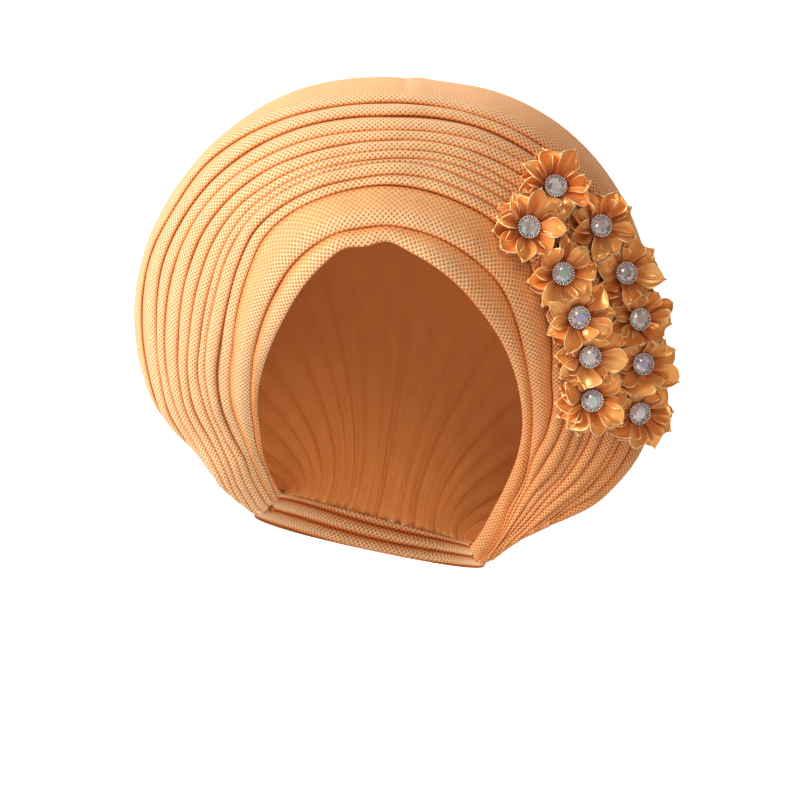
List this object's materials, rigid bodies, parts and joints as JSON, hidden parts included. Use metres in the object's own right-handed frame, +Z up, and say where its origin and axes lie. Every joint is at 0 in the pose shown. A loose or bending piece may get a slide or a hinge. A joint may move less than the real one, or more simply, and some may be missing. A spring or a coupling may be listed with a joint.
{
  "type": "tied gele head tie",
  "caption": "Tied gele head tie: laid pleats fan out from the face to a smooth draped back, with satin ribbon flowers and stone buttons on one side.",
  "frame": {"origin": "middle of the wearer's head at eye level, where the head tie is held", "axes": "+Z up, the face looks along -Y, +X is the wearer's left, the side with the flowers"},
  "size_m": [0.3015, 0.1931, 0.2773],
  "materials": {
    "woven_cloth": "stiff woven cloth, cream threads over a peach ground in small diamonds",
    "satin_ribbon": "glossy orange satin ribbon",
    "silver_setting": "bright silver with a beaded rim",
    "clear_stone": "clear faceted stone with faint coloured reflections"
  },
  "bodies": {
    "root": {"face_band": "woven_cloth", "brow_wrap": "woven_cloth", "pleated_fan": "woven_cloth", "back_drape": "woven_cloth", "nape_band": "woven_cloth", "flower_01": "satin_ribbon", "flower_02": "satin_ribbon", "flower_03": "satin_ribbon", "flower_04": "satin_ribbon", "flower_05": "satin_ribbon", "flower_06": "satin_ribbon", "flower_07": "satin_ribbon", "flower_08": "satin_ribbon", "flower_09": "satin_ribbon", "flower_10": "satin_ribbon", "flower_11": "satin_ribbon", "setting_01": "silver_setting", "setting_02": "silver_setting", "setting_03": "silver_setting", "setting_04": "silver_setting", "setting_05": "silver_setting", "setting_06": "silver_setting", "setting_07": "silver_setting", "setting_08": "silver_setting", "setting_09": "silver_setting", "setting_10": "silver_setting", "setting_11": "silver_setting", "stone_01": "clear_stone", "stone_02": "clear_stone", "stone_03": "clear_stone", "stone_04": "clear_stone", "stone_05": "clear_stone", "stone_06": "clear_stone", "stone_07": "clear_stone", "stone_08": "clear_stone", "stone_09": "clear_stone", "stone_10": "clear_stone", "stone_11": "clear_stone"}
  },
  "joints": []
}
